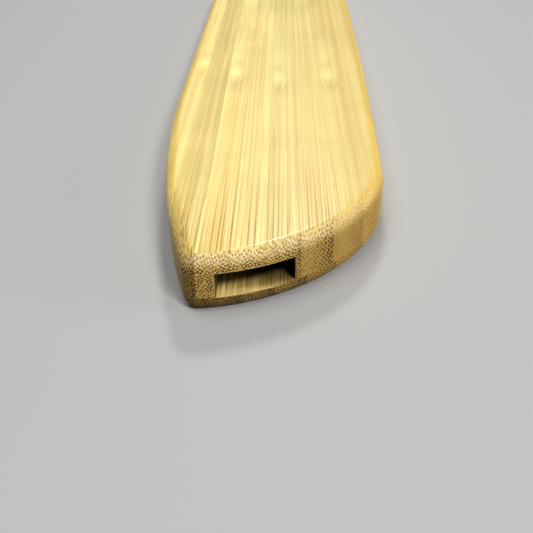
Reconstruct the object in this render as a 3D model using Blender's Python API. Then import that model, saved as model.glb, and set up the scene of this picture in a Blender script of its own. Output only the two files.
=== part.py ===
"""A bone folder of laminated bamboo: a rounded creasing tool with a square slot in its nose end.

Two layers are glued flat to flat. The thick upper layer has a groove milled in its underside, and the
thin lower layer closes that groove, which makes the slot. Each layer is glued up from narrow strips that
run the whole length. X runs across the tool, Y along it with the slot end at -Y, and Z up from the table.
"""
import math

import bmesh
import bpy
from mathutils import Matrix, Vector
from mathutils.geometry import interpolate_bezier

# Driving dimensions, in metres.
LENGTH = 0.200
WIDTH = 0.0422
THICKNESS = 0.009
LAYER_SEAM_HEIGHT = 0.0025
GLUE_GAP = 0.0003

TOP_EDGE_RADIUS = 0.0025
BOTTOM_EDGE_RADIUS = 0.0020

# The plan outline, measured from the nose's own end line and the tool's centre line.
NOSE_POINT = Vector((-0.01233, 0.0))
NOSE_CORNER_RADIUS = 0.0025
NOSE_END_RISE = 0.075
NOSE_SIDE_RISE = 1.251
NOSE_END_SWEEP = 0.0147
NOSE_SIDE_SWEEP = 0.0161
RIGHT_SHOULDER = Vector((0.0190, 0.0309))
RIGHT_SHOULDER_LEAN = 0.04
RIGHT_SHOULDER_SWEEP = 0.0187
RIGHT_SIDE_SWEEP = 0.035
RIGHT_SIDE_START = 0.150
LEFT_SHOULDER = 0.0644
LEFT_SHOULDER_SWEEP = 0.0277

# The far end: round in plan, and thinned from above to the creasing edge.
FAR_ROUND_START = 0.163
FAR_ROUND_FULLNESS = 0.62
TAPER_START = 0.150
CREASE_THICKNESS = 0.0034
LARGEST_TOP_ROUND = 0.40
LARGEST_BOTTOM_ROUND = 0.34

# The slot, seen from its mouth.
SLOT_LEFT = -0.008135
SLOT_RIGHT = 0.003365
SLOT_ROOF_HEIGHT = 0.00655
SLOT_DEPTH = 0.030

# The strips of each layer: one glue line's place across the width, and the strips' even pitch.
UPPER_GLUE_LINE = 0.00415
UPPER_PITCH = 0.0050
LOWER_GLUE_LINE = 0.00040
LOWER_PITCH = 0.0047

EDGE_STEPS = 5
STEPS_PER_CURVE = {"corner": 6, "shoulder": 14, "side": 6, "far round": 12, "straight": 1}
OVERCUT = 0.004
NARROWEST_STRIP = 0.001
FLAT_WITHIN = math.radians(0.05)

UPPER_COLOUR = (0.83, 0.66, 0.29)
LOWER_COLOUR = (0.72, 0.53, 0.22)
TONES_IN_TURN = (0.0, 0.03, -0.03)
BAMBOO_ROUGHNESS = 0.45


def clear_scene():
    for obj in list(bpy.data.objects):
        bpy.data.objects.remove(obj, do_unlink=True)


def new_collection(name):
    collection = bpy.data.collections.new(name)
    bpy.context.scene.collection.children.link(collection)
    return collection


def bamboo_material(name, colour, tone):
    """One strip's own bamboo: the layer's colour, a little lighter or darker from strip to strip."""
    material = bpy.data.materials.new(name)
    material.use_nodes = True
    shader = material.node_tree.nodes["Principled BSDF"]
    shade = 1.0 + tone
    shader.inputs["Base Color"].default_value = [channel * shade for channel in colour] + [1.0]
    shader.inputs["Roughness"].default_value = BAMBOO_ROUGHNESS
    shader.inputs["Metallic"].default_value = 0.0
    return material


def curve_points(start, start_handle, end_handle, end, kind):
    """Points along one Bezier stretch, without its last point, which the next stretch starts with."""
    knots = [Vector((p.x, p.y, 0.0)) for p in (start, start_handle, end_handle, end)]
    return [p.to_2d() for p in interpolate_bezier(*knots, STEPS_PER_CURVE[kind] + 1)[:-1]]


def outline():
    """The closed plan outline, anticlockwise from the nose."""
    half = WIDTH / 2
    along_end = Vector((math.cos(NOSE_END_RISE), math.sin(NOSE_END_RISE)))
    along_side = Vector((-math.cos(NOSE_SIDE_RISE), math.sin(NOSE_SIDE_RISE)))
    up = Vector((0.0, 1.0))
    lean = Vector((RIGHT_SHOULDER_LEAN, 1.0)).normalized()

    corner_angle = along_end.angle(along_side)
    cut_back = NOSE_CORNER_RADIUS / math.tan(corner_angle / 2)
    corner_sweep = 4 / 3 * math.tan((math.pi - corner_angle) / 4) * NOSE_CORNER_RADIUS
    end_start = NOSE_POINT + along_end * cut_back
    side_end = NOSE_POINT + along_side * cut_back

    side_start = Vector((half, RIGHT_SIDE_START))
    right_far = Vector((half, FAR_ROUND_START))
    tip = Vector((0.0, LENGTH))
    left_far = Vector((-half, FAR_ROUND_START))
    left_shoulder = Vector((-half, LEFT_SHOULDER))
    across = Vector((half * FAR_ROUND_FULLNESS, 0.0))
    beyond = up * (LENGTH - FAR_ROUND_START) * FAR_ROUND_FULLNESS

    stretches = (
        (side_end, side_end - along_side * corner_sweep, end_start - along_end * corner_sweep,
         end_start, "corner"),
        (end_start, NOSE_POINT + along_end * NOSE_END_SWEEP,
         RIGHT_SHOULDER - lean * RIGHT_SHOULDER_SWEEP, RIGHT_SHOULDER, "shoulder"),
        (RIGHT_SHOULDER, RIGHT_SHOULDER + lean * RIGHT_SIDE_SWEEP,
         side_start - up * RIGHT_SIDE_SWEEP, side_start, "side"),
        (side_start, side_start, right_far, right_far, "straight"),
        (right_far, right_far + beyond, tip + across, tip, "far round"),
        (tip, tip - across, left_far + beyond, left_far, "far round"),
        (left_far, left_far, left_shoulder, left_shoulder, "straight"),
        (left_shoulder, left_shoulder - up * LEFT_SHOULDER_SWEEP,
         NOSE_POINT + along_side * NOSE_SIDE_SWEEP, side_end, "shoulder"),
    )
    points = []
    for stretch in stretches:
        points += curve_points(*stretch)
    return points


def outward_normals(points):
    """The outline's normal at each point, square to the line between its two neighbours."""
    normals = []
    for index, point in enumerate(points):
        before = (point - points[index - 1]).normalized()
        after = (points[(index + 1) % len(points)] - point).normalized()
        along = (before + after).normalized()
        normals.append(Vector((along.y, -along.x)))
    return normals


def roof_height(along):
    """The tool's thickness at a place along it: level, then falling to the creasing edge."""
    fall = max(0.0, along - TAPER_START) / (LENGTH - TAPER_START)
    return THICKNESS + (CREASE_THICKNESS - THICKNESS) * fall


def quarter_round(radius):
    """(inset, rise) pairs from the upright wall to the flat, for a rounded edge of this radius."""
    for step in range(EDGE_STEPS + 1):
        angle = math.pi / 2 * step / EDGE_STEPS
        yield radius * (1 - math.cos(angle)), radius * math.sin(angle)


def middle_of_length(points):
    lengths = [point.y for point in points]
    return (min(lengths) + max(lengths)) / 2


def rounded_blank(collection):
    """The whole tool before it is divided: the outline's walls with their rounded edges, as one hull."""
    points = outline()
    middle = middle_of_length(points)
    mesh = bmesh.new()
    for point, normal in zip(points, outward_normals(points)):
        roof = roof_height(point.y)
        top_radius = min(TOP_EDGE_RADIUS, LARGEST_TOP_ROUND * roof)
        bottom_radius = min(BOTTOM_EDGE_RADIUS, LARGEST_BOTTOM_ROUND * roof)
        for inset, rise in quarter_round(top_radius):
            place = point - normal * inset
            mesh.verts.new((place.x, place.y - middle, roof - top_radius + rise))
        for inset, rise in quarter_round(bottom_radius):
            place = point - normal * inset
            mesh.verts.new((place.x, place.y - middle, bottom_radius - rise))
    hull = bmesh.ops.convex_hull(mesh, input=mesh.verts)
    inside = set(hull["geom_interior"]) | set(hull["geom_unused"])
    bmesh.ops.delete(mesh, geom=[v for v in inside if isinstance(v, bmesh.types.BMVert)], context="VERTS")
    bmesh.ops.dissolve_limit(mesh, angle_limit=FLAT_WITHIN, verts=mesh.verts, edges=mesh.edges)
    bmesh.ops.recalc_face_normals(mesh, faces=mesh.faces)
    return helper_object("blank", mesh, collection)


def helper_object(name, mesh, collection):
    """A shape that only cuts the strips: drawn as wires and left out of the render."""
    obj = object_from(name, mesh, collection)
    obj.hide_render = True
    obj.display_type = "WIRE"
    return obj


def object_from(name, mesh, collection):
    data = bpy.data.meshes.new(name)
    mesh.to_mesh(data)
    mesh.free()
    obj = bpy.data.objects.new(name, data)
    collection.objects.link(obj)
    return obj


def box_mesh(size):
    mesh = bmesh.new()
    bmesh.ops.create_cube(mesh, size=1.0, matrix=Matrix.Diagonal((*size, 1.0)))
    return mesh


def slot_cutter(collection):
    """The square slot: it starts outside the nose and stops square inside the tool."""
    points = outline()
    nose_end = min(point.y for point in points) - middle_of_length(points)
    low = Vector((SLOT_LEFT, nose_end - OVERCUT, LAYER_SEAM_HEIGHT - OVERCUT))
    high = Vector((SLOT_RIGHT, nose_end + SLOT_DEPTH, SLOT_ROOF_HEIGHT))
    cutter = helper_object("slot_cutter", box_mesh(high - low), collection)
    cutter.location = (low + high) / 2
    return cutter


def glue_lines(known_line, pitch):
    """Every glue line across one layer, with the tool's two sides at the ends."""
    half = WIDTH / 2
    first = math.ceil((-half + NARROWEST_STRIP - known_line) / pitch)
    last = math.floor((half - NARROWEST_STRIP - known_line) / pitch)
    lines = [known_line + pitch * number for number in range(first, last + 1)]
    return [-half - GLUE_GAP / 2] + lines + [half + GLUE_GAP / 2]


def add_boolean(obj, name, operation, other):
    modifier = obj.modifiers.new(name, "BOOLEAN")
    modifier.operation = operation
    modifier.solver = "EXACT"
    modifier.object = other


def make_strip(name, left, right, low, high, colour, tone, helpers, collection, parent):
    """One bamboo strip: a long square stick, shaped to the blank and grooved where it meets the slot."""
    blank, cutter = helpers
    size = Vector((right - left - GLUE_GAP, LENGTH + 2 * OVERCUT, high - low))
    strip = object_from(name, box_mesh(size), collection)
    strip.location = ((left + right) / 2, 0.0, (low + high) / 2)
    strip.parent = parent
    add_boolean(strip, "shape to outline", "INTERSECT", blank)
    crosses_slot = left < SLOT_RIGHT and right > SLOT_LEFT
    if crosses_slot and high > SLOT_ROOF_HEIGHT:
        add_boolean(strip, "mill slot", "DIFFERENCE", cutter)
    strip.data.materials.append(bamboo_material(name, colour, tone))
    return strip


def make_layer(name, lines, low, high, colour, helpers, collection, parent):
    for number, (left, right) in enumerate(zip(lines, lines[1:]), start=1):
        tone = TONES_IN_TURN[(number - 1) % len(TONES_IN_TURN)]
        strip_name = f"{name}_strip_{number}"
        make_strip(strip_name, left, right, low, high, colour, tone, helpers, collection, parent)


def main():
    clear_scene()
    tool = new_collection("bone_folder")
    cutters = new_collection("cutters")
    centre = bpy.data.objects.new("bone_folder_centre", None)
    tool.objects.link(centre)
    helpers = (rounded_blank(cutters), slot_cutter(cutters))
    half_gap = GLUE_GAP / 2
    make_layer("lower", glue_lines(LOWER_GLUE_LINE, LOWER_PITCH), -OVERCUT, LAYER_SEAM_HEIGHT - half_gap,
               LOWER_COLOUR, helpers, tool, centre)
    make_layer("upper", glue_lines(UPPER_GLUE_LINE, UPPER_PITCH), LAYER_SEAM_HEIGHT + half_gap,
               THICKNESS + OVERCUT, UPPER_COLOUR, helpers, tool, centre)


main()
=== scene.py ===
# %% [markdown]
# # A bone folder of laminated bamboo
# This lesson dresses a fixed engineering model of a creasing tool. The tool is two layers of side-pressed
# bamboo glued flat to flat, and each layer is glued up from long narrow strips. The model arrives as plain
# strips with clear gaps between them. We make every strip again as it leaves the workshop: shaped with its
# neighbours in one sanding, so that only a hairline of glue shows between them.

# %% Load the frame
import math
import bmesh
import bpy
from mathutils import Matrix, Vector
from mathutils.geometry import interpolate_bezier


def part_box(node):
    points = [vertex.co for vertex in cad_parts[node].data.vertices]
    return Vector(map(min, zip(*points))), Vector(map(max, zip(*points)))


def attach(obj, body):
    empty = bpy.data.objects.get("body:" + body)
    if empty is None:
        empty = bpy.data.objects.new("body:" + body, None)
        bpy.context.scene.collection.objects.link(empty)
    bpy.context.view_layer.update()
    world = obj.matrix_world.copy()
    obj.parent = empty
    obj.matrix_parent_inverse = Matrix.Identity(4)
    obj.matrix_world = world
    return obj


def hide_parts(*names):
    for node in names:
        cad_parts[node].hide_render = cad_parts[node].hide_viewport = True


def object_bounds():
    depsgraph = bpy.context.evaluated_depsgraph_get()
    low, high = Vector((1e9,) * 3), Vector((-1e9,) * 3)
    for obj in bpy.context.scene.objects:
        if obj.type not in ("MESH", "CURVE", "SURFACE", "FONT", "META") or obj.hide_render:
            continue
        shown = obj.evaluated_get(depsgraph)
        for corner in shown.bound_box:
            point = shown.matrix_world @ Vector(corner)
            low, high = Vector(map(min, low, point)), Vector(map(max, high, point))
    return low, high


MM = 0.001
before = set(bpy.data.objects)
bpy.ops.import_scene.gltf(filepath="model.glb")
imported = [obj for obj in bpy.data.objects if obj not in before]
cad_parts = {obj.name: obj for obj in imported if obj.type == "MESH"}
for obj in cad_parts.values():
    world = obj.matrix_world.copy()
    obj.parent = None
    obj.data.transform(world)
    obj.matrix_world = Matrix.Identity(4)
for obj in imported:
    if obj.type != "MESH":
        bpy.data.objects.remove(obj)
cad_low, cad_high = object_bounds()
print("tool", [round(side / MM, 2) for side in cad_high - cad_low], "mm")

# %% [markdown]
# ## Where the glue lines are
# A strip's own box says where it lies. Its neighbour starts a small gap further on, and the real glue line
# is in the middle of that gap. Working the lines out from the frame keeps each new strip on its own node.

# %% Glue lines
# A strip near the middle of its layer, which stands for the others.
MIDDLE = 4


def layer(word):
    """The names of one layer's strips, from the left side to the right."""
    return sorted((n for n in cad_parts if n.startswith(word)), key=lambda n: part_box(n)[0].x)


def glue_lines(names):
    """The planes between neighbouring strips, with one outside the tool at each end."""
    inner = [(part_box(a)[1].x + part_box(b)[0].x) / 2 for a, b in zip(names, names[1:])]
    return [cad_low.x - MM] + inner + [cad_high.x + MM]


UPPER, LOWER = layer("upper"), layer("lower")
seam_height = (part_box(LOWER[MIDDLE])[1].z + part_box(UPPER[MIDDLE])[0].z) / 2
upper_lines = glue_lines(UPPER)
lower_lines = glue_lines(LOWER)
print("upper glue lines", [round(x / MM, 2) for x in upper_lines[1:-1]])
print("lower glue lines", [round(x / MM, 2) for x in lower_lines[1:-1]])

# %% [markdown]
# ## The plan outline
# A maker saws the outline once through the whole glued board. It is a few fair curves, so Bezier stretches
# describe it well: each has two ends and two handles. A polygon would need hundreds of points to look as
# smooth, and would be hard to change. The nose is a tight corner, and the far end is round.

# %% Outline measures
LENGTH = 0.200
WIDTH = cad_high.x - cad_low.x
THICKNESS = cad_high.z - cad_low.z
NOSE_POINT = Vector((-0.01233, 0.0))
NOSE_CORNER_RADIUS = 0.0025
NOSE_END_RISE = 0.075
NOSE_SIDE_RISE = 1.251
NOSE_END_SWEEP = 0.0147
NOSE_SIDE_SWEEP = 0.0161
RIGHT_SHOULDER = Vector((0.0190, 0.0309))
RIGHT_SHOULDER_LEAN = 0.04
RIGHT_SHOULDER_SWEEP = 0.0187
RIGHT_SIDE_SWEEP = 0.035
RIGHT_SIDE_START = 0.150
LEFT_SHOULDER = 0.0644
LEFT_SHOULDER_SWEEP = 0.0277
FAR_ROUND_START = 0.163
FAR_ROUND_FULLNESS = 0.62
STEPS = {"corner": 14, "shoulder": 56, "side": 20, "far round": 44, "straight": 1}
print("outline", LENGTH / MM, "mm long and", round(WIDTH / MM, 1), "mm wide")

# %% Outline


def stretch(start, start_handle, end_handle, end, kind):
    """Points along one Bezier stretch, without its last, which the next stretch starts with."""
    knots = [p.to_3d() for p in (start, start_handle, end_handle, end)]
    return [p.to_2d() for p in interpolate_bezier(*knots, STEPS[kind] + 1)[:-1]]


def outline():
    """The closed plan outline, anticlockwise from the nose."""
    half = WIDTH / 2
    along_end = Vector((math.cos(NOSE_END_RISE), math.sin(NOSE_END_RISE)))
    along_side = Vector((-math.cos(NOSE_SIDE_RISE), math.sin(NOSE_SIDE_RISE)))
    up = Vector((0.0, 1.0))
    lean = Vector((RIGHT_SHOULDER_LEAN, 1.0)).normalized()
    corner_angle = along_end.angle(along_side)
    cut_back = NOSE_CORNER_RADIUS / math.tan(corner_angle / 2)
    corner_sweep = 4 / 3 * math.tan((math.pi - corner_angle) / 4) * NOSE_CORNER_RADIUS
    end_start = NOSE_POINT + along_end * cut_back
    side_end = NOSE_POINT + along_side * cut_back
    side_start, right_far = Vector((half, RIGHT_SIDE_START)), Vector((half, FAR_ROUND_START))
    tip, left_far = Vector((0.0, LENGTH)), Vector((-half, FAR_ROUND_START))
    left_shoulder = Vector((-half, LEFT_SHOULDER))
    across = Vector((half * FAR_ROUND_FULLNESS, 0.0))
    beyond = up * (LENGTH - FAR_ROUND_START) * FAR_ROUND_FULLNESS
    points = stretch(side_end, side_end - along_side * corner_sweep,
                     end_start - along_end * corner_sweep, end_start, "corner")
    points += stretch(end_start, NOSE_POINT + along_end * NOSE_END_SWEEP,
                      RIGHT_SHOULDER - lean * RIGHT_SHOULDER_SWEEP, RIGHT_SHOULDER, "shoulder")
    points += stretch(RIGHT_SHOULDER, RIGHT_SHOULDER + lean * RIGHT_SIDE_SWEEP,
                      side_start - up * RIGHT_SIDE_SWEEP, side_start, "side")
    points += stretch(side_start, side_start, right_far, right_far, "straight")
    points += stretch(right_far, right_far + beyond, tip + across, tip, "far round")
    points += stretch(tip, tip - across, left_far + beyond, left_far, "far round")
    points += stretch(left_far, left_far, left_shoulder, left_shoulder, "straight")
    points += stretch(left_shoulder, left_shoulder - up * LEFT_SHOULDER_SWEEP,
                      NOSE_POINT + along_side * NOSE_SIDE_SWEEP, side_end, "shoulder")
    return points


plan = outline()
plan_shift = cad_low.y - min(point.y for point in plan)
print(len(plan), "outline points, nose end at y", round(cad_low.y / MM, 3), "mm")

# %% [markdown]
# ## The shaped board
# The edges are sanded round, a little fuller above than below, and the far end is planed down to a creasing
# edge. The whole form has no hollow side, so a convex hull is the neatest way to make it: we only place the
# quarter rounds along the outline, and the hull operator stretches a skin over them. A bevel would tangle at
# the tight nose, where the rounding is as large as the corner.

# %% Edges and thickness
TOP_EDGE_RADIUS = 0.0025
BOTTOM_EDGE_RADIUS = 0.0020
TAPER_START = 0.150
CREASE_THICKNESS = 0.0034
LARGEST_TOP_ROUND = 0.40
LARGEST_BOTTOM_ROUND = 0.34
EDGE_STEPS = 12


def outward_normals(points):
    """Each point's outward direction, square to the mean of the two steps beside it."""
    normals = []
    for index, point in enumerate(points):
        before = (point - points[index - 1]).normalized()
        after = (points[(index + 1) % len(points)] - point).normalized()
        along = (before + after).normalized()
        normals.append(Vector((along.y, -along.x)))
    return normals


def roof_height(along):
    """The thickness at a place along the tool: level, then falling to the creasing edge."""
    fall = max(0.0, along - TAPER_START) / (LENGTH - TAPER_START)
    return THICKNESS + (CREASE_THICKNESS - THICKNESS) * fall


def quarter_round(radius):
    """(inset, rise) from the upright wall to the flat."""
    for step in range(EDGE_STEPS + 1):
        angle = math.pi / 2 * step / EDGE_STEPS
        yield radius * (1 - math.cos(angle)), radius * math.sin(angle)


print("thickness falls to", round(roof_height(LENGTH) / MM, 1), "mm at the far end")

# %% Shaped board
FLAT_WITHIN = math.radians(0.05)


def shaped_board():
    """The board before it is divided, as one closed bmesh."""
    board = bmesh.new()
    for point, normal in zip(plan, outward_normals(plan)):
        roof = roof_height(point.y)
        top_radius = min(TOP_EDGE_RADIUS, LARGEST_TOP_ROUND * roof)
        bottom_radius = min(BOTTOM_EDGE_RADIUS, LARGEST_BOTTOM_ROUND * roof)
        for inset, rise in quarter_round(top_radius):
            place = point - normal * inset
            board.verts.new((place.x, place.y + plan_shift, roof - top_radius + rise))
        for inset, rise in quarter_round(bottom_radius):
            place = point - normal * inset
            board.verts.new((place.x, place.y + plan_shift, bottom_radius - rise))
    hull = bmesh.ops.convex_hull(board, input=board.verts)
    spare = [g for g in hull["geom_interior"] + hull["geom_unused"] if isinstance(g, bmesh.types.BMVert)]
    bmesh.ops.delete(board, geom=list(set(spare)), context="VERTS")
    bmesh.ops.dissolve_limit(board, angle_limit=FLAT_WITHIN, verts=board.verts, edges=board.edges)
    bmesh.ops.recalc_face_normals(board, faces=board.faces)
    return board


board = shaped_board()
print("shaped board:", len(board.verts), "points,", len(board.faces), "faces")

# %% [markdown]
# ## Dividing the board into strips
# Every strip is a slice of that one board, so neighbours meet flush along their whole length, as sanding
# leaves them. Bisecting a copy of the board at its glue lines gives exactly that. The cuts stand back by
# half a hairline, so that a real seam shows wherever light falls across it.

# %% Strips
HAIRLINE = 0.00002


def keep_one_side(mesh, point, towards):
    """Cuts the mesh with a plane and keeps the side that towards points to, closed again."""
    parts = mesh.verts[:] + mesh.edges[:] + mesh.faces[:]
    cut = bmesh.ops.bisect_plane(mesh, geom=parts, plane_co=point, plane_no=towards, clear_inner=True)
    rim = [g for g in cut["geom_cut"] if isinstance(g, bmesh.types.BMEdge)]
    if rim:
        bmesh.ops.holes_fill(mesh, edges=rim, sides=0)


def slice_of_board(left, right, upper):
    """One strip of the shaped board, between two glue lines and above or below the seam."""
    strip = board.copy()
    keep_one_side(strip, (left + HAIRLINE / 2, 0, 0), (1, 0, 0))
    keep_one_side(strip, (right - HAIRLINE / 2, 0, 0), (-1, 0, 0))
    if upper:
        keep_one_side(strip, (0, 0, seam_height + HAIRLINE / 2), (0, 0, 1))
    else:
        keep_one_side(strip, (0, 0, seam_height - HAIRLINE / 2), (0, 0, -1))
    bmesh.ops.recalc_face_normals(strip, faces=strip.faces)
    return strip


def object_from(mesh, name):
    """A new object from a bmesh, which is freed."""
    data = bpy.data.meshes.new(name)
    mesh.to_mesh(data)
    mesh.free()
    obj = bpy.data.objects.new(name, data)
    bpy.context.scene.collection.objects.link(obj)
    return obj


strips = {}
for names, lines, upper in ((UPPER, upper_lines, True), (LOWER, lower_lines, False)):
    for name, left, right in zip(names, lines, lines[1:]):
        strips[name] = object_from(slice_of_board(left, right, upper), "bamboo_" + name)
board.free()
print(len(strips), "strips,", sum(len(s.data.polygons) for s in strips.values()), "faces")

# %% [markdown]
# ## Milling the slot
# The groove was milled in the underside of the upper layer before the lower layer was glued on. One square
# cutter passes through three strips. A Boolean takes it out of each, and its result is kept as the mesh.

# %% Slot
SLOT_LEFT = -0.008135
SLOT_RIGHT = 0.003365
SLOT_ROOF_HEIGHT = 0.00655
SLOT_DEPTH = 0.030
OVERCUT = 0.004


def slot_cutter():
    """The square cutter's path as a block, a little longer and lower than the groove."""
    low = Vector((SLOT_LEFT, cad_low.y - OVERCUT, seam_height - OVERCUT))
    high = Vector((SLOT_RIGHT, cad_low.y + SLOT_DEPTH, SLOT_ROOF_HEIGHT))
    block = bmesh.new()
    place = Matrix.Translation((low + high) / 2) @ Matrix.Diagonal((*(high - low), 1.0))
    bmesh.ops.create_cube(block, size=1.0, matrix=place)
    return object_from(block, "slot_cutter")


def mill(strip, cutter):
    """Takes the cutter's block out of the strip, and keeps the result as its mesh."""
    cut = strip.modifiers.new("mill slot", "BOOLEAN")
    cut.operation = "DIFFERENCE"
    cut.solver = "EXACT"
    cut.object = cutter
    milled = bpy.data.meshes.new_from_object(strip.evaluated_get(bpy.context.evaluated_depsgraph_get()))
    strip.modifiers.clear()
    strip.data = milled


cutter = slot_cutter()
for name, left, right in zip(UPPER, upper_lines, upper_lines[1:]):
    if left < SLOT_RIGHT and right > SLOT_LEFT:
        mill(strips[name], cutter)
        print("milled", name)
bpy.data.objects.remove(cutter)

# %% [markdown]
# ## Smooth shading
# Sanding leaves the rounded edges smooth and the flats flat. The shading is smoothed over every shallow edge,
# and kept crisp round each sawn face, even where the outline runs nearly level with it: otherwise a strip
# would seem to curl at its glue line. Weighting the normals by area keeps the broad flats truly flat.

# %% Smooth shading
SHARP_FROM = math.radians(32)
SQUARE_ON = 0.9999
FULL_WEIGHT = 100


def is_sawn(face):
    """Whether the face is inside the board: at a glue line or at the seam between the layers."""
    middle = face.calc_center_median()
    at_line = abs(face.normal.x) > SQUARE_ON and abs(middle.x) < WIDTH / 2 - HAIRLINE
    at_seam = abs(face.normal.z) > SQUARE_ON and abs(middle.z - seam_height) < HAIRLINE
    return at_line or at_seam


def smooth_over(strip):
    """Smooth shading with crisp edges where the strip was sawn or turns sharply."""
    mesh = bmesh.new()
    mesh.from_mesh(strip.data)
    for face in mesh.faces:
        face.smooth = True
    for edge in mesh.edges:
        crisp = edge.calc_face_angle(0.0) > SHARP_FROM or any(is_sawn(face) for face in edge.link_faces)
        edge.smooth = not crisp
    mesh.to_mesh(strip.data)
    mesh.free()
    weighted = strip.modifiers.new("flat stays flat", "WEIGHTED_NORMAL")
    weighted.keep_sharp = True
    weighted.weight = FULL_WEIGHT


for strip in strips.values():
    smooth_over(strip)
print("crisp edges on", UPPER[0] + ":", sum(edge.use_edge_sharp for edge in strips[UPPER[0]].data.edges))

# %% [markdown]
# ## Tools for materials
# A material is a small machine of nodes. These helpers add a node, set it and wire its inputs in one line,
# so that each finish below reads like a recipe. Every value may be a number or another node's socket.

# %% Adding nodes


def add(tree, kind, inputs=None, **settings):
    """A new node: settings are its own options, and inputs are numbers or other nodes' sockets."""
    made = tree.nodes.new(kind)
    for name, value in settings.items():
        setattr(made, name, value)
    for key, value in (inputs or {}).items():
        if isinstance(value, bpy.types.NodeSocket):
            tree.links.new(value, made.inputs[key])
        else:
            made.inputs[key].default_value = value
    return made


print("add: makes any node")

# %% Sums


def calc(tree, operation, *values):
    """One sum or comparison. Returns its result's socket."""
    return add(tree, "ShaderNodeMath", dict(enumerate(values)), operation=operation).outputs[0]


def times(tree, first, *others):
    """All the values multiplied."""
    for other in others:
        first = calc(tree, "MULTIPLY", first, other)
    return first


def squares(tree, first, second):
    """The sum of the two values' squares."""
    return calc(tree, "ADD", times(tree, first, first), times(tree, second, second))


def bell(tree, value, narrowness):
    """1 where the value is zero, and falling away from there."""
    return calc(tree, "EXPONENT", times(tree, value, -narrowness))


def vector(tree, operation, *values):
    """One sum on places or directions. Returns its result's socket."""
    return add(tree, "ShaderNodeVectorMath", dict(enumerate(values)), operation=operation).outputs[0]


print("sums: calc, times, squares, bell, vector")

# %% Places, steps and colours


def joined(tree, **axes):
    """A place or colour from its X, Y and Z. An axis that isn't given is zero."""
    return add(tree, "ShaderNodeCombineXYZ", axes).outputs[0]


def parted(tree, place):
    """The X, Y and Z of a place, direction or colour."""
    return add(tree, "ShaderNodeSeparateXYZ", {0: place}).outputs


def ramp(tree, value, low, high, to_low=0.0, to_high=1.0):
    """A soft step: to_low at low, to_high at high, and smooth between."""
    inputs = {"Value": value, "From Min": low, "From Max": high, "To Min": to_low, "To Max": to_high}
    return add(tree, "ShaderNodeMapRange", inputs, interpolation_type="SMOOTHSTEP").outputs[0]


def noise(tree, place, scale, detail, **more):
    """Soft cloudy noise between 0 and 1."""
    inputs = {"Vector": place, "Scale": scale, "Detail": detail, **more}
    return add(tree, "ShaderNodeTexNoise", inputs).outputs[0]


def blend(tree, amount, first, second, kind="MIX"):
    """Two colours mixed."""
    inputs = {0: amount, 6: first, 7: second}
    return add(tree, "ShaderNodeMix", inputs, data_type="RGBA", blend_type=kind).outputs[2]


print("places, steps and colours: joined, parted, ramp, noise, blend")

# %% [markdown]
# ## Node groups
# An effect that many strips share is a node group: a machine inside the machine, with named sockets. It is
# built once, and each strip places it with its own values. Groups put out only colours, masks and values, so
# that any renderer or export can read them.

# %% Group helpers
VALUE, COLOUR = "NodeSocketFloat", "NodeSocketColor"


def new_group(name, inputs, outputs):
    """An empty group. Returns it, what it is given and what it gives, both by socket name."""
    group = bpy.data.node_groups.new(name, "ShaderNodeTree")
    for socket, kind in inputs.items():
        group.interface.new_socket(socket, in_out="INPUT", socket_type=kind)
    for socket, kind in outputs.items():
        group.interface.new_socket(socket, in_out="OUTPUT", socket_type=kind)
    return group, group.nodes.new("NodeGroupInput").outputs, group.nodes.new("NodeGroupOutput").inputs


def use(tree, group, inputs=None):
    """The group placed in a tree with its values. Returns its outputs by name."""
    return add(tree, "ShaderNodeGroup", inputs, node_tree=group).outputs


def give(tree, result, values):
    """Wires each value to the socket of that name."""
    for name, value in values.items():
        tree.links.new(value, result[name])


def place_in_mm(tree):
    """A point's place on the tool in millimetres, the same in every strip."""
    place = add(tree, "ShaderNodeTexCoord").outputs["Object"]
    return add(tree, "ShaderNodeVectorMath", {0: place, "Scale": 1 / MM}, operation="SCALE").outputs[0]


nose_y = cad_low.y / MM
# Nearly all of a noise's values lie in this span.
MOST_OF_NOISE = (0.3, 0.7)
print("patterns are measured in millimetres, and the nose is at", round(nose_y, 2))

# %% [markdown]
# ## Culm joints
# Every 20 or 30 cm a bamboo culm has a joint, where fibres knot together. Planed through, it shows as a pale
# spot with a pale trail behind it, and the swollen ring in front of it shows as tan curls. Each is a bell
# shape round the joint's place, so no edge of it is hard.

# %% Joint masks
JOINT_HALF_LENGTH = 4.2
JOINT_HALF_WIDTH = 1.5
TRAIL_NARROWNESS = 1.2
TRAIL_BEGINS = (5.0, 11.0)
TRAIL_ENDS = (40.0, 14.0)
TRAIL_STRENGTH = 0.45
RING_IN_FRONT = 1.45
RING_OFF_CENTRE = 0.5
RING_HALF_WIDTH = 2.0
RING_NARROWNESS = 1.3
CURLS_ACROSS = 0.9
CURLS_ALONG = 0.30
CURL_TWIST = 1.6
CURL_EDGE = (0.36, 0.60)


def joint_mask(tree, reach, spread, from_joint):
    """The pale spot and the trail behind it."""
    spot = bell(tree, squares(tree, reach, spread), 1.0)
    trail = times(
        tree, bell(tree, times(tree, spread, spread), TRAIL_NARROWNESS),
        ramp(tree, from_joint, *TRAIL_BEGINS), ramp(tree, from_joint, *TRAIL_ENDS, 0.0, TRAIL_STRENGTH))
    return calc(tree, "MAXIMUM", spot, trail)


def scar_mask(tree, reach, beside, from_joint):
    """The curls of the ring in front of the joint."""
    before = calc(tree, "ADD", reach, RING_IN_FRONT)
    wide = calc(tree, "DIVIDE", calc(tree, "SUBTRACT", beside, RING_OFF_CENTRE), RING_HALF_WIDTH)
    place = joined(tree, X=times(tree, beside, CURLS_ACROSS), Y=times(tree, from_joint, CURLS_ALONG))
    curls = noise(tree, place, 1.0, 2.0, Distortion=CURL_TWIST)
    ring = bell(tree, squares(tree, before, wide), RING_NARROWNESS)
    return times(tree, ring, ramp(tree, curls, *CURL_EDGE))


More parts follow.
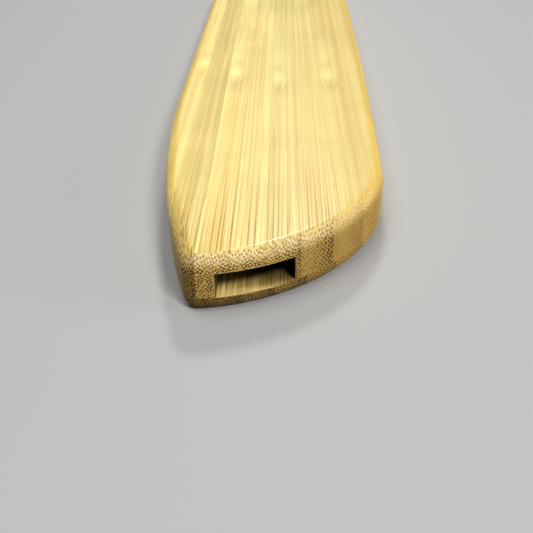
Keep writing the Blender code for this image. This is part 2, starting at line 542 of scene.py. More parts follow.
print("a joint's pale spot is", 2 * JOINT_HALF_LENGTH, "mm long and", 2 * JOINT_HALF_WIDTH, "mm wide")

# %% [markdown]
# ## Grain space
# Bamboo is a bundle of fibres that run the length of the culm. If we know where a point lies across the
# fibres, we know what it shows on every face at once: dots where the fibres are cut across, and long lines
# where they are cut along. This group gives that place in millimetres, lets the fibres wander slowly as
# they grow, and makes them part in front of a joint and close behind it.

# %% Grain space group
WANDER_SCALE = (0.10, 0.012, 0.10)
NOISE_MIDDLE = (0.5, 0.5, 0.5)
WANDER_ACROSS = 0.9
WANDER_UP = 1.2
PARTING = 0.9


def grain_space_group():
    """Where a point lies in the grain: across, along and up, with its joint and scar."""
    tree, given, result = new_group(
        "grain space", {"Seed": VALUE, "Joint Along": VALUE, "Joint Across": VALUE},
        {"Across": VALUE, "Along": VALUE, "Up": VALUE, "Joint": VALUE, "Scar": VALUE})
    place = place_in_mm(tree)
    axes = parted(tree, place)
    own_start = joined(tree, X=given["Seed"], Y=given["Seed"])
    slow = vector(tree, "ADD", vector(tree, "MULTIPLY", place, WANDER_SCALE), own_start)
    drift = add(tree, "ShaderNodeTexNoise", {"Vector": slow, "Scale": 1.0, "Detail": 2.0}).outputs["Color"]
    wander = parted(tree, vector(tree, "SUBTRACT", drift, NOISE_MIDDLE))

    from_joint = calc(tree, "SUBTRACT", axes["Y"], given["Joint Along"])
    beside = calc(tree, "SUBTRACT", axes["X"], given["Joint Across"])
    reach = calc(tree, "DIVIDE", from_joint, JOINT_HALF_LENGTH)
    spread = calc(tree, "DIVIDE", beside, JOINT_HALF_WIDTH)
    joint = joint_mask(tree, reach, spread, from_joint)

    across = calc(tree, "ADD", axes["X"], times(tree, wander["X"], WANDER_ACROSS))
    across = calc(tree, "ADD", across, times(tree, joint, spread, -PARTING))
    up = calc(tree, "ADD", axes["Z"], times(tree, wander["Y"], WANDER_UP))
    scar = scar_mask(tree, reach, beside, from_joint)
    give(tree, result, {"Across": across, "Along": axes["Y"], "Up": up, "Joint": joint, "Scar": scar})
    return tree


grain_space = grain_space_group()
print("grain space:", len(grain_space.nodes), "nodes")

# %% [markdown]
# ## Fibre bundles
# Cut across, each bundle is a pale centre between four dark sheaths. Bundles are packed like coins on a
# table, a little out of line. A Voronoi texture can do this: its cells are the bundles, and the place
# inside a cell tells how far a point is from each sheath. Its own lattice is square, so we lean it by half a
# cell a row, which gives each bundle six neighbours, and straighten the place again afterwards.

# %% Fibre bundle group
ROW_PITCH = 0.866
ROW_LEAN = 0.5
LARGEST_TURN = 0.9
SHORTER_WAY = 0.9
SIZE_RANGE = (0.85, 1.15)
SHEATH_EDGE = (1.14, 0.86)
CORE_EDGE = (0.16, 0.04)


def distance(tree, beside, above):
    """How far a point is from zero."""
    return calc(tree, "SQRT", squares(tree, beside, above))


def fibre_bundle_group():
    """Masks for the sheaths and the centre of each bundle, and a chance number for each."""
    tree, given, result = new_group(
        "fibre bundles",
        {"Across": VALUE, "Up": VALUE, "Cell": VALUE, "Spread": VALUE, "Radius": VALUE, "Loose": VALUE,
         "Seed": VALUE},
        {"Sheath": VALUE, "Core": VALUE, "Chance": VALUE})
    cell, spread = given["Cell"], given["Spread"]
    row = calc(tree, "DIVIDE", given["Up"], times(tree, cell, ROW_PITCH))
    column = calc(tree, "ADD", calc(tree, "DIVIDE", given["Across"], cell), times(tree, row, ROW_LEAN))
    leaned = vector(tree, "ADD", joined(tree, X=column, Y=row), joined(tree, X=given["Seed"]))
    cells = add(tree, "ShaderNodeTexVoronoi", {"Vector": leaned, "Scale": 1.0, "Randomness": given["Loose"]},
                voronoi_dimensions="2D", feature="F1").outputs
    chance = parted(tree, cells["Color"])

    offset = parted(tree, vector(tree, "SUBTRACT", leaned, cells["Position"]))
    straight = joined(tree, X=calc(tree, "SUBTRACT", offset["X"], times(tree, offset["Y"], ROW_LEAN)),
                      Y=times(tree, offset["Y"], ROW_PITCH))
    turn = times(tree, calc(tree, "SUBTRACT", chance["X"], 0.5), LARGEST_TURN)
    turned = add(tree, "ShaderNodeVectorRotate", {"Vector": straight, "Angle": turn}, rotation_type="Z_AXIS")
    sides = parted(tree, turned.outputs[0])
    x = times(tree, calc(tree, "ABSOLUTE", sides["X"]), cell)
    y = times(tree, calc(tree, "ABSOLUTE", sides["Y"]), cell)

    to_side_sheath = distance(tree, calc(tree, "SUBTRACT", x, spread), y)
    to_end_sheath = distance(tree, x, calc(tree, "SUBTRACT", y, times(tree, spread, SHORTER_WAY)))
    nearest = calc(tree, "MINIMUM", to_side_sheath, to_end_sheath)
    size = times(tree, given["Radius"], ramp(tree, chance["Y"], 0.0, 1.0, *SIZE_RANGE))
    give(tree, result, {"Sheath": ramp(tree, calc(tree, "DIVIDE", nearest, size), *SHEATH_EDGE),
                        "Core": ramp(tree, distance(tree, x, y), *CORE_EDGE), "Chance": chance["Z"]})
    return tree


fibre_bundles = fibre_bundle_group()
print("fibre bundles:", len(fibre_bundles.nodes), "nodes")

# %% [markdown]
# ## The slot's painted light and shade
# The slot's inside is brightened a little: painted light that stands in for the light on its floor. Deeper
# in, painted shade turns the milled faces brown to black, a little lighter near the left wall, where light
# from the front right would reach. A thin pale rim round the mouth is partly frayed fibres and partly a
# painted highlight where a softened edge would catch light. All of this depends only on how far a point is
# from the groove's four walls and how deep it lies, so one group measures those from the cutter's own size.
# The mouth is slanted as the nose is, so the depth starts from that slant.

# %% Slot light and shade group
MOUTH_SLANT = 0.17
WALL_SKIN = (0.06, 0.03)
BLIND_END_SKIN = (0.2, 0.1)
# How deep, in millimetres, the floor stays clear of painted shade, as far as light would reach it, and how
# fast the painted shade deepens past that.
LIT_DEPTH_AT_LEFT = 2.0
LIT_DEPTH_AT_RIGHT = 0.9
SHADE_REACH = 1.6
# The floor's painted shade is lighter at the slot's left wall, and full from here on to the right.
SHADE_EASES_ACROSS = (1.0, 7.0)
SHADE_AT_LEFT_WALL = 0.78
# Painted shade on the slot's walls and roof, from just inside the mouth.
WALL_SHADE = 0.97
WALL_EDGE = (-0.08, -0.03)
WALL_SHADE_START = 0.3
# A thin pale rim round the mouth: partly frayed fibres, partly a painted highlight where a softened edge
# would catch light.
FRAY_SCALE = 5.0
RIM_WIDTH = (0.05, 0.22)
RIM_EDGE = (1.0, 0.5)
RIM_DEPTH = (2.5, 1.5)


def from_walls(tree, value, low, high):
    """How far a value is past the nearer of two walls: below zero between them."""
    from_middle = calc(tree, "ABSOLUTE", calc(tree, "SUBTRACT", value, (low + high) / 2 / MM))
    return calc(tree, "SUBTRACT", from_middle, (high - low) / 2 / MM)


def slot_light_and_shade_group():
    """Masks for the inside of the slot, its painted shade and its pale rim of frayed fibres and painted
    highlight.
    """
    tree, _, result = new_group("slot light and shade", {}, {"Painted Shade": VALUE, "Rim Fray And Highlight": VALUE, "Inside": VALUE})
    place = place_in_mm(tree)
    axes = parted(tree, place)
    left, right = SLOT_LEFT / MM, SLOT_RIGHT / MM
    blind_end = nose_y + SLOT_DEPTH / MM
    beside = from_walls(tree, axes["X"], SLOT_LEFT, SLOT_RIGHT)
    outside = calc(tree, "MAXIMUM", beside, from_walls(tree, axes["Z"], seam_height, SLOT_ROOF_HEIGHT))
    before_end = ramp(tree, axes["Y"], *(blind_end + skin for skin in BLIND_END_SKIN))
    inside = times(tree, ramp(tree, outside, *WALL_SKIN), before_end)

    mouth = times(tree, calc(tree, "SUBTRACT", axes["X"], left), MOUTH_SLANT)
    depth = calc(tree, "SUBTRACT", calc(tree, "SUBTRACT", axes["Y"], nose_y), mouth)
    # Painted shade: past the lit depth the floor darkens as a cast shadow would, a little less towards the
    # left wall, and the walls and roof darken from just inside the mouth.
    lit_depth = ramp(tree, axes["X"], left, right, LIT_DEPTH_AT_LEFT, LIT_DEPTH_AT_RIGHT)
    past_lit_depth = calc(tree, "MAXIMUM", calc(tree, "SUBTRACT", depth, lit_depth), 0.0)
    shade_on_floor = calc(tree, "SUBTRACT", 1.0, bell(tree, past_lit_depth, 1 / SHADE_REACH))
    shade_across = ramp(tree, axes["X"], *(left + reach for reach in SHADE_EASES_ACROSS), SHADE_AT_LEFT_WALL, 1.0)
    past_roof = calc(tree, "SUBTRACT", axes["Z"], SLOT_ROOF_HEIGHT / MM)
    at_wall = ramp(tree, calc(tree, "MAXIMUM", beside, past_roof), *WALL_EDGE)
    shade_on_wall = times(tree, at_wall, ramp(tree, depth, 0.0, WALL_SHADE_START), WALL_SHADE)
    painted_shade = calc(tree, "MAXIMUM", times(tree, shade_on_floor, shade_across), shade_on_wall)

    # The pale rim: partly frayed fibres, partly painted highlight.
    width = ramp(tree, noise(tree, place, FRAY_SCALE, 1.0), *MOST_OF_NOISE, *RIM_WIDTH)
    near = ramp(tree, calc(tree, "DIVIDE", outside, width), *RIM_EDGE)
    give(tree, result, {"Painted Shade": times(tree, inside, painted_shade), "Inside": inside,
                        "Rim Fray And Highlight": times(tree, near, ramp(tree, depth, *RIM_DEPTH))})
    return tree


slot_light_and_shade = slot_light_and_shade_group()
print("slot light and shade:", len(slot_light_and_shade.nodes), "nodes")

# %% [markdown]
# ## Where the bundles stand in a strip
# A strip is sawn from the culm's wall, so one of its sides was near the outer skin and the other near the
# hollow. Towards the skin the bundles are small, dark and close together, and towards the hollow they are
# wide, each with its pale centre. The bundle group is placed twice, once for each kind, and a soft step at
# the strip's skin side chooses between them.

# %% Bundles in a strip
WIDE_BUNDLES = {"Cell": 0.88, "Spread": 0.280, "Radius": 0.130, "Loose": 0.35}
CLOSE_BUNDLES = {"Cell": 0.45, "Spread": 0.0, "Loose": 0.45}
CLOSE_GROWTH = (0.3, 1.0)
CLOSE_RADIUS = (0.100, 0.152)
SKIN_CHANGE = 0.08
HOLLOW_SIDE = (-0.05, 0.25)
HOLLOW_STRENGTH = 0.85


def bundles_in_strip(tree, given, grain):
    """How near the skin a point is, with its sheath, core and chance."""
    across, up, size = grain["Across"], grain["Up"], given["Bundle Size"]
    towards_skin = calc(tree, "DIVIDE", calc(tree, "SUBTRACT", across, given["Left"]), given["Pitch"])
    wide = use(tree, fibre_bundles, {"Across": calc(tree, "DIVIDE", across, size), "Seed": given["Seed"],
                                     "Up": calc(tree, "DIVIDE", up, size), **WIDE_BUNDLES})
    radius = ramp(tree, towards_skin, *CLOSE_GROWTH, *CLOSE_RADIUS)
    close = use(tree, fibre_bundles, {"Across": across, "Up": up, "Radius": radius, "Seed": given["Seed"],
                                      **CLOSE_BUNDLES})
    skin_side = calc(tree, "ADD", given["Skin From"], SKIN_CHANGE)
    skin = ramp(tree, towards_skin, given["Skin From"], skin_side)
    sheath, core, chance = (
        add(tree, "ShaderNodeMix", {0: skin, 2: wide[name], 3: close[name]}).outputs[0]
        for name in ("Sheath", "Core", "Chance"))
    paler_at_hollow = ramp(tree, towards_skin, *HOLLOW_SIDE, HOLLOW_STRENGTH, 1.0)
    return towards_skin, times(tree, sheath, paler_at_hollow, given["Bundle Depth"]), core, chance


print("wide bundles every", WIDE_BUNDLES["Cell"], "mm, close ones every", CLOSE_BUNDLES["Cell"], "mm")

# %% [markdown]
# ## Colour along the fibres
# On the planed faces and the rounded edges the saw ran along the fibres. They show as tan lines of three
# kinds: the sheaths that were cut open, broader streaks and single hairs. One noise, drawn out two hundred
# times along the tool, draws the last two. The lines are strongest near the nose and calmer further back.
# Every flat, top and bottom, is paler and less yellow than the rounded edges: a painted highlight, standing
# in for the washed-out look of a brightly lit top.

# %% Colour along the fibres
DRAWN_OUT = 0.005
FINE_SCALE, FINE_DETAIL, FINE_ROUGHNESS = 3.4, 3.0, 0.6
HAIR_SCALE = 5.5
BAND_SCALE = 0.75
BAND_EDGE = (0.35, 0.68)
# Painted highlight: the flats' colours are paler than the rounded edges', as a brightly lit top looks.
LIT_FLAT_PALE, LIT_FLAT_DEEP = (0.735, 0.622, 0.240, 1), (0.665, 0.515, 0.180, 1)
ROUNDED_PALE, ROUNDED_DEEP = (0.74, 0.565, 0.165, 1), (0.64, 0.455, 0.120, 1)
STREAK_TAN = (0.50, 0.35, 0.065, 1)
HAIR_TAN = (0.46, 0.32, 0.060, 1)
SHEATH_TAN = (0.40, 0.24, 0.040, 1)
STREAK_EDGE = (0.575, 0.635)
HAIR_EDGE = (0.52, 0.58)
LINE_STRENGTH = 0.46
OPENED_CHANCE = (0.25, 0.65)
LEAST_OPENED = 0.10
NOSE_REACH = 10.0
STRONGER_AT_NOSE = 2.0
STRENGTH_BEHIND = 0.24


def drawn_out_place(tree, grain, seed):
    """A place that hardly changes along the fibres, so that noise on it makes long lines."""
    place = joined(tree, X=grain["Across"], Y=times(tree, grain["Along"], DRAWN_OUT), Z=grain["Up"])
    return vector(tree, "ADD", place, joined(tree, Z=seed))


def line_strength(tree, along, streaks):
    """How plainly the lines show: most at the nose, and by each strip's own measure."""
    at_nose = bell(tree, calc(tree, "SUBTRACT", along, nose_y), 1 / NOSE_REACH)
    strength = calc(tree, "ADD", times(tree, at_nose, STRONGER_AT_NOSE), STRENGTH_BEHIND)
    return times(tree, strength, streaks)


def colour_along(tree, place, fine, flat_highlight, strength, sheath, chance):
    """The colour of a face that was cut along the fibres, its flats paled by a painted highlight."""
    bands = ramp(tree, noise(tree, place, BAND_SCALE, 1.0), *BAND_EDGE)
    colour = blend(tree, flat_highlight, blend(tree, bands, ROUNDED_PALE, ROUNDED_DEEP),
                   blend(tree, bands, LIT_FLAT_PALE, LIT_FLAT_DEEP))
    streak = ramp(tree, fine, *STREAK_EDGE, 0.0, LINE_STRENGTH)
    colour = blend(tree, times(tree, streak, strength), colour, STREAK_TAN)
    hair = ramp(tree, noise(tree, place, HAIR_SCALE, 2.0), *HAIR_EDGE, 0.0, LINE_STRENGTH)
    colour = blend(tree, times(tree, hair, strength), colour, HAIR_TAN)
    opened = times(tree, sheath, ramp(tree, chance, *OPENED_CHANCE, LEAST_OPENED, 1.0))
    return blend(tree, times(tree, opened, strength), colour, SHEATH_TAN)


print("line strength:", STRONGER_AT_NOSE + STRENGTH_BEHIND, "at the nose,", STRENGTH_BEHIND, "far behind it")

# %% [markdown]
# ## Colour of the end grain
# Sawn square across, the sheaths are nearly black and the ground is brown. Where the top edge is sanded
# round, the cut slants, and the same bundles are painted pale with tan rings on a paler ground: a painted
# sheen for the light that slides along the fibres there. How level a face lies tells the two apart. Between
# the bundles, tiny cells give the ground its grain.

# %% Colour of the end grain
HOLLOW_TO_SKIN = (0.1, 0.9)
CUT_AT_HOLLOW, CUT_AT_SKIN = (0.49, 0.315, 0.070, 1), (0.43, 0.265, 0.056, 1)
# Painted sheen: on the rounded edge the ground and the sheaths are paler, as if catching light.
SHEEN_PALE_GROUND = (0.72, 0.565, 0.255, 1)
CELL_BROWN = (0.23, 0.135, 0.030, 1)
CORE_PALE = (0.88, 0.72, 0.36, 1)
SHEEN_PALE_SHEATH, CUT_SHEATH = (0.31, 0.215, 0.090, 1), (0.012, 0.004, 0.002, 1)
CELLS_PER_METRE = 5000.0
CELL_EDGE = (0.42, 0.64)
CELL_STRENGTH = 0.52
CORE_STRENGTH = 0.58


def colour_end_on(tree, place, deep_cut, towards_skin, sheath, core):
    """The colour of a face that was cut across the fibres."""
    cut = blend(tree, ramp(tree, towards_skin, *HOLLOW_TO_SKIN), CUT_AT_HOLLOW, CUT_AT_SKIN)
    # Painted sheen where the face tilts up into the rounded edge, here for the ground and below for the
    # sheaths.
    colour = blend(tree, deep_cut, SHEEN_PALE_GROUND, cut)
    cells = ramp(tree, noise(tree, place, CELLS_PER_METRE, 1.0), *CELL_EDGE, 0.0, CELL_STRENGTH)
    colour = blend(tree, cells, colour, CELL_BROWN)
    colour = blend(tree, times(tree, core, CORE_STRENGTH), colour, CORE_PALE)
    return blend(tree, sheath, colour, blend(tree, deep_cut, SHEEN_PALE_SHEATH, CUT_SHEATH))


print("end grain cells are about", 1 / CELLS_PER_METRE / MM, "mm wide")

# %% [markdown]
# ## Marks
# Over the plain bamboo lie the marks that growth and work left: the joint's scar and pale spot, and one small
# brown fleck on the slot's upper lip. Over them go the slot's painted light, its pale rim of frayed fibres
# and painted highlight, and its painted shade. Each is a mask and a colour, laid in this order, so that the
# slot covers whatever grew there.

# %% Marks
SCAR_TAN = (0.50, 0.355, 0.11, 1)
SCAR_STRENGTH = 0.75
JOINT_PALE = (0.86, 0.765, 0.30, 1)
JOINT_STRENGTH = 0.90
FLECK_PLACE = (-0.0010, -0.0962, 0.0087)
FLECK_RADIUS = 0.00055
FLECK_SOLID = 0.35
FLECK_STRENGTH = 0.55
FLECK_BROWN = (0.40, 0.26, 0.09, 1)
# Painted light: the slot's inside is brightened, standing in for light on its floor.
NO_PAINTED_LIGHT, PAINTED_SLOT_LIGHT = (1.0, 1.0, 1.0, 1), (1.20, 1.23, 1.38, 1)
# The slot's pale rim: partly frayed fibres, partly painted highlight.
RIM_STRENGTH = 0.6
RIM_FRAY_AND_HIGHLIGHT = (0.74, 0.56, 0.25, 1)
# How strong and how dark the painted shade deep in the slot is.
PAINTED_SHADE_STRENGTH = 0.94
PAINTED_SHADE_COLOUR = (0.012, 0.006, 0.003, 1)


def with_marks(tree, colour, place, grain, slot):
    """The colour with every mark laid over it, and the slot's painted light and shade."""
    colour = blend(tree, times(tree, grain["Scar"], SCAR_STRENGTH), colour, SCAR_TAN)
    colour = blend(tree, times(tree, grain["Joint"], JOINT_STRENGTH), colour, JOINT_PALE)
    to_fleck = add(tree, "ShaderNodeVectorMath", {0: place, 1: FLECK_PLACE}, operation="DISTANCE")
    fleck = ramp(tree, to_fleck.outputs["Value"], FLECK_RADIUS, FLECK_RADIUS * FLECK_SOLID)
    colour = blend(tree, times(tree, fleck, FLECK_STRENGTH), colour, FLECK_BROWN)
    # Painted light brightens the slot's inside.
    colour = blend(tree, 1.0, colour, blend(tree, slot["Inside"], NO_PAINTED_LIGHT, PAINTED_SLOT_LIGHT), "MULTIPLY")
    # A pale rim of frayed fibres and painted highlight round the slot's mouth.
    colour = blend(tree, times(tree, slot["Rim Fray And Highlight"], RIM_STRENGTH), colour, RIM_FRAY_AND_HIGHLIGHT)
    # Painted shade darkens the slot deeper in.
    return blend(tree, times(tree, slot["Painted Shade"], PAINTED_SHADE_STRENGTH), colour, PAINTED_SHADE_COLOUR)


# Of these, the slot's brightening is painted light, its rim partly painted highlight and its darkening
# painted shade.
print("marks: scar, joint, fleck, bare slot, raw rim and scorch")

# %% [markdown]
# ## One strip's bamboo
# Now the recipe for a whole strip. The face's own direction says whether the fibres are seen end on or
# along: end grain faces the nose or the far end, and a planed flat faces straight up or down. The two colours
# are mixed by that, the marks are laid on, and the strip's tone and warmth tint the whole. The same masks
# give the roughness, the faint relief of the fibres and the oil's gloss, which bare end grain doesn't have.

# %% Tint
CLOUDS_PER_METRE = 70.0
CLOUD_TONES = (0.95, 1.04)
WARM_GREEN_LOSS = 0.07
WARM_BLUE_LOSS = 0.22


def tinted(tree, colour, place, given):
    """The colour with the strip's tone and warmth, and faint cloudy patches."""
    clouds = ramp(tree, noise(tree, place, CLOUDS_PER_METRE, 2.0), *MOST_OF_NOISE, *CLOUD_TONES)
    shade = times(tree, clouds, given["Tone"])
    green, blue = (
        times(tree, shade, calc(tree, "SUBTRACT", 1.0, times(tree, given["Warmth"], loss)))
        for loss in (WARM_GREEN_LOSS, WARM_BLUE_LOSS))
    return blend(tree, 1.0, colour, joined(tree, X=shade, Y=green, Z=blue), "MULTIPLY")


print("cloudy patches are about", round(1 / CLOUDS_PER_METRE / MM), "mm wide")

# %% Bamboo group
END_GRAIN_FACING = (0.04, 0.42)
DEEP_CUT_FACING = (0.85, 0.20)
PLANED_FACING = (0.93, 0.996)
FACE_ROUGHNESS = (0.42, 0.56)
END_ROUGHER = 0.22
LINE_RELIEF = 0.5
SHEATH_RELIEF = 0.6
END_BARENESS = 0.92
OIL_GLOSS = 0.26


def bamboo_group():
    """Colour, roughness, height and gloss of one strip."""
    names = ("Left", "Pitch", "Seed", "Skin From", "Tone", "End Tone And Shade", "Warmth", "Bundle Size",
             "Bundle Depth", "Streaks", "Joint Along", "Joint Across")
    tree, given, result = new_group(
        "bamboo strip", dict.fromkeys(names, VALUE),
        {"Color": COLOUR, "Roughness": VALUE, "Height": VALUE, "Gloss": VALUE})
    where = add(tree, "ShaderNodeTexCoord").outputs
    place, facing = where["Object"], parted(tree, where["Normal"])
    end_grain = ramp(tree, calc(tree, "ABSOLUTE", facing["Y"]), *END_GRAIN_FACING)
    deep_cut = ramp(tree, facing["Z"], *DEEP_CUT_FACING)
    flat_highlight = ramp(tree, calc(tree, "ABSOLUTE", facing["Z"]), *PLANED_FACING)
    grain = use(tree, grain_space, {name: given[name] for name in ("Seed", "Joint Along", "Joint Across")})
    slot = use(tree, slot_light_and_shade)
    towards_skin, sheath, core, chance = bundles_in_strip(tree, given, grain)

    drawn_out = drawn_out_place(tree, grain, given["Seed"])
    fine = noise(tree, drawn_out, FINE_SCALE, FINE_DETAIL, Roughness=FINE_ROUGHNESS)
    strength = line_strength(tree, grain["Along"], given["Streaks"])
    along = colour_along(tree, drawn_out, fine, flat_highlight, strength, sheath, chance)
    end_on = colour_end_on(tree, place, deep_cut, towards_skin, sheath, core)
    # A strip's end grain tone; in the lower strips it is painted shade.
    end_tone_and_shade = joined(tree, **dict.fromkeys("XYZ", given["End Tone And Shade"]))
    end_on = blend(tree, 1.0, end_on, end_tone_and_shade, "MULTIPLY")
    colour = with_marks(tree, blend(tree, end_grain, along, end_on), place, grain, slot)

    rough = ramp(tree, fine, *MOST_OF_NOISE, *FACE_ROUGHNESS)
    # No gloss on bare end grain, nor where the slot's painted shade lies.
    bare = calc(tree, "MAXIMUM", times(tree, end_grain, END_BARENESS), slot["Painted Shade"])
    give(tree, result, {
        "Color": tinted(tree, colour, place, given),
        "Roughness": calc(tree, "ADD", rough, times(tree, end_grain, END_ROUGHER)),
        "Height": calc(tree, "SUBTRACT", times(tree, fine, LINE_RELIEF), times(tree, sheath, SHEATH_RELIEF)),
        "Gloss": times(tree, calc(tree, "SUBTRACT", 1.0, bare), OIL_GLOSS)})
    return tree


bamboo = bamboo_group()
print("bamboo strip:", len(bamboo.nodes), "nodes")

# %% [markdown]
# ## Dressing the strips
# No two strips come from the same piece of culm, so each gets its own seed, tone and joint. Everything
# else is shared, which is how a real board looks: one species, many pieces. The lower strips' joints lie
# beyond the tool, and painted shade darkens their end grain, most under the slot and least at the right
# shoulder. Numbers that are the same all over a strip, such as the oil's own roughness, are set straight on
# the shader.

# %% Strip looks
LOOK = ("Tone", "Warmth", "Skin From", "Bundle Size", "Bundle Depth", "Joint Across", "Joint Along",
        "End Tone And Shade")
FAR_AWAY = 900.0
UPPER_LOOKS = (
    (1.12, 0.2, 0.78, 1.00, 0.90, -17.1, 85.1, 0.94), (0.92, 0.3, 0.68, 0.95, 1.00, -13.5, 171.0, 0.84),
    (1.09, 0.0, 0.88, 1.00, 1.00, -9.3, 76.8, 0.95), (1.04, 0.0, 0.92, 1.00, 1.00, -3.0, 154.0, 1.00),
    (0.95, 0.0, 0.82, 0.95, 1.00, 0.3, 73.4, 1.00), (0.95, 0.2, 0.04, 0.82, 1.00, 7.0, 160.0, 1.00),
    (0.90, 0.6, 0.10, 0.76, 0.55, 11.4, 75.0, 1.02), (0.90, 0.8, 0.95, 0.70, 0.40, 16.5, 166.0, 1.10),
    (0.92, 0.4, 0.95, 0.60, 0.30, 17.0, 112.0, 1.18),
)
LOWER_SHARED = (0.7, 0.66, 1.00)
# Each lower strip's own tone, bundle depth and end tone; its end tone is painted shade, darkest under the
# slot.
LOWER_OWN = (
    (1.01, 1.0, 0.46), (1.06, 1.0, 0.46), (1.11, 1.0, 0.46), (1.01, 1.0, 0.46), (1.06, 1.0, 0.48),
    (1.11, 1.0, 0.52), (1.01, 0.6, 0.64), (1.06, 0.6, 0.80), (1.11, 0.6, 0.90), (1.01, 0.6, 0.90),
)
LOWER_LOOKS = [(tone, *LOWER_SHARED, depth, 0.0, FAR_AWAY, end_tone_and_shade) for tone, depth, end_tone_and_shade in LOWER_OWN]
print(len(UPPER_LOOKS), "upper and", len(LOWER_LOOKS), "lower looks")

# %% Strip materials
BARE_SPECULAR = 0.16
OIL_ROUGHNESS = 0.20
OIL_IOR = 1.42
RELIEF_STRENGTH = 0.35
RELIEF_DEPTH = 0.00006
# For each layer: its first seed, the step from seed to seed, and how plainly its streaks show.
UPPER_GROWTH = (2.1, 7.3, 1.0)
LOWER_GROWTH = (60.4, 5.9, 1.7)


def strip_material(name, values):
    """A strip's material: its own values in the shared bamboo group, under a thin coat of oil."""
    material = bpy.data.materials.new("bamboo " + name.replace("_", " "))
    material.use_nodes = True
    tree = material.node_tree
    shader = tree.nodes["Principled BSDF"]
    wood = use(tree, bamboo, values)
    relief = {"Strength": RELIEF_STRENGTH, "Distance": RELIEF_DEPTH, "Height": wood["Height"]}
    give(tree, shader.inputs, {"Base Color": wood["Color"], "Roughness": wood["Roughness"],
                               "Coat Weight": wood["Gloss"],
                               "Normal": add(tree, "ShaderNodeBump", relief).outputs[0]})
    shader.inputs["Specular IOR Level"].default_value = BARE_SPECULAR
    shader.inputs["Coat Roughness"].default_value = OIL_ROUGHNESS
    shader.inputs["Coat IOR"].default_value = OIL_IOR
    return material


def dress_layer(names, lines, looks, growth):
    """Gives every strip of a layer its material. Returns the layer's strip width in millimetres."""
    first_seed, seed_step, streaks = growth
    pitch = lines[MIDDLE] - lines[MIDDLE - 1]
    for number, (name, left) in enumerate(zip(names, [lines[1] - pitch] + lines[1:])):
        values = dict(zip(LOOK, looks[number]))
        values["Joint Along"] += nose_y
        values |= {"Left": left / MM, "Pitch": pitch / MM, "Streaks": streaks}
        values["Seed"] = first_seed + seed_step * number
        strips[name].data.materials.append(strip_material(name, values))
    return round(pitch / MM, 2)


print("upper strips", dress_layer(UPPER, upper_lines, UPPER_LOOKS, UPPER_GROWTH), "mm wide")
print("lower strips", dress_layer(LOWER, lower_lines, LOWER_LOOKS, LOWER_GROWTH), "mm wide")

# %% [markdown]
# ## Joining the model
# Each strip rides on the tool's one body and stands for its own engineering strip. Nothing moves against
# anything else, because everything is glued.

# %% Ride and replace
for name, strip in strips.items():
    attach(strip, "root")
    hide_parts(name)
print(len(strips), "strips ride on root")

# %% [markdown]
# ## Floor
# The floor is plain, matt and pale, so that nothing on it draws the eye. It lies a hair below the tool,
# because two faces at the same height would flicker.

# %% Floor
FLOOR_SIZE = 3.0
FLOOR_DROP = 0.00005
FLOOR_GREY = (0.36, 0.365, 0.37, 1)
FLOOR_ROUGHNESS = 0.7

plate = bmesh.new()
bmesh.ops.create_grid(plate, x_segments=1, y_segments=1, size=FLOOR_SIZE / 2,
                      matrix=Matrix.Translation((0, 0, cad_low.z - FLOOR_DROP)))
floor = object_from(plate, "studio_floor")
floor_material = bpy.data.materials.new("studio floor")
floor_material.use_nodes = True
floor_shader = floor_material.node_tree.nodes["Principled BSDF"]
floor_shader.inputs["Base Color"].default_value = FLOOR_GREY
floor_shader.inputs["Roughness"].default_value = FLOOR_ROUGHNESS
floor.data.materials.append(floor_material)
print("floor", FLOOR_SIZE, "m square")

# %% [markdown]
# ## Lights
# Four soft lights do four jobs. A large one high overhead makes the top the brightest face. One in front, to
# the right, opens the end grain and reaches into the slot. A small one behind draws the thin shine along the
# rounded edges, and one low on the right lights that side. A weak even glow from the room keeps the
# shadows open.

# %% Lights
DAYLIGHT = (1.0, 0.98, 0.95)
WARM_LIGHT = (1.0, 0.97, 0.93)
ROOM_WHITE = (1.0, 1.0, 1.0, 1)
ROOM_GLOW = 0.08
# Name, place, what it points at, size in metres, power in watts and colour.
LIGHTS = (
    ("overhead_light", (-0.16, -0.10, 0.72), (0, -0.04, 0), (0.55, 0.40), 3.2, DAYLIGHT),
    ("front_right_light", (0.30, -0.49, 0.58), (0, -0.06, 0), (0.18, 0.15), 4.1, WARM_LIGHT),
    ("back_light", (0.03, 0.50, 0.50), (0, -0.03, 0), (0.10, 0.10), 2.3, DAYLIGHT),
    ("low_right_light", (0.85, -0.15, 0.22), (0, -0.06, 0), (0.46, 0.28), 2.8, DAYLIGHT),
)


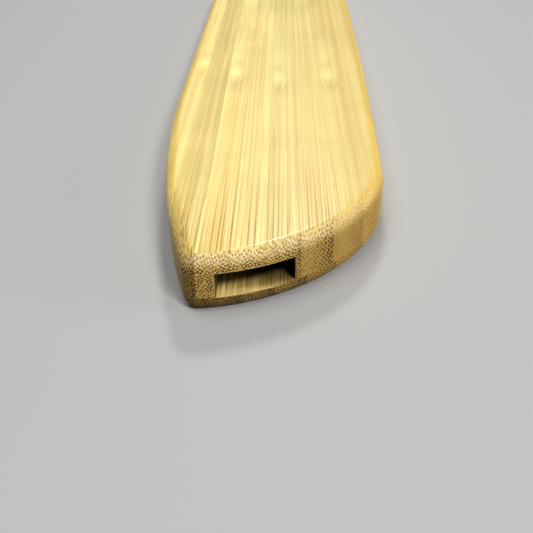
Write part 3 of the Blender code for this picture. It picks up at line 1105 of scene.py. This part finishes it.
def soft_light(name, place, target, size, watts, colour):
    """A rectangular soft light that points at its target."""
    data = bpy.data.lights.new(name, "AREA")
    data.shape = "RECTANGLE"
    data.size, data.size_y = size
    data.energy = watts
    data.color = colour
    light = bpy.data.objects.new(name, data)
    light.location = place
    light.rotation_euler = (Vector(target) - Vector(place)).to_track_quat("-Z", "Y").to_euler()
    bpy.context.scene.collection.objects.link(light)


for light in LIGHTS:
    soft_light(*light)
world = bpy.data.worlds.new("soft room")
world.use_nodes = True
glow = world.node_tree.nodes["Background"]
glow.inputs["Color"].default_value = ROOM_WHITE
glow.inputs["Strength"].default_value = ROOM_GLOW
bpy.context.scene.world = world
bpy.context.scene.view_settings.view_transform = "Standard"
print(len(LIGHTS), "lights,", round(sum(light[4] for light in LIGHTS), 1), "W in all")

# %% [markdown]
# ## Camera
# The camera stands close in front of the nose and looks down at about 35 degrees. So near, the far end
# shrinks away fast, which is what makes a small tool look small. It is turned and rolled a degree or two, as
# a hand-held camera is.

# %% Camera
CAMERA_LENS = 47.28
SENSOR_WIDTH = 36.0
NEAREST_SEEN = 0.005
CAMERA_ACROSS = 0.00190
CAMERA_BACK_FROM_NOSE = 0.07982
CAMERA_HEIGHT = 0.06296
LOOK_DOWN = math.radians(34.496)
TURN = math.radians(1.865)
ROLL = 0.021

camera_data = bpy.data.cameras.new("camera")
camera_data.lens = CAMERA_LENS
camera_data.sensor_width = SENSOR_WIDTH
camera_data.clip_start = NEAREST_SEEN
camera = bpy.data.objects.new("camera", camera_data)
bpy.context.scene.collection.objects.link(camera)
right = Vector((math.cos(TURN), math.sin(TURN), 0))
forward = Vector((-math.sin(TURN) * math.cos(LOOK_DOWN), math.cos(TURN) * math.cos(LOOK_DOWN),
                  -math.sin(LOOK_DOWN)))
above = right.cross(forward)
tilt = Matrix.Rotation(ROLL, 3, forward)
axes = Matrix((tilt @ right, tilt @ above, -forward)).transposed().to_4x4()
stand = Matrix.Translation((CAMERA_ACROSS, cad_low.y - CAMERA_BACK_FROM_NOSE, CAMERA_HEIGHT))
camera.matrix_world = stand @ axes
bpy.context.scene.camera = camera
print("camera at", [round(value / MM, 1) for value in stand.translation], "mm")
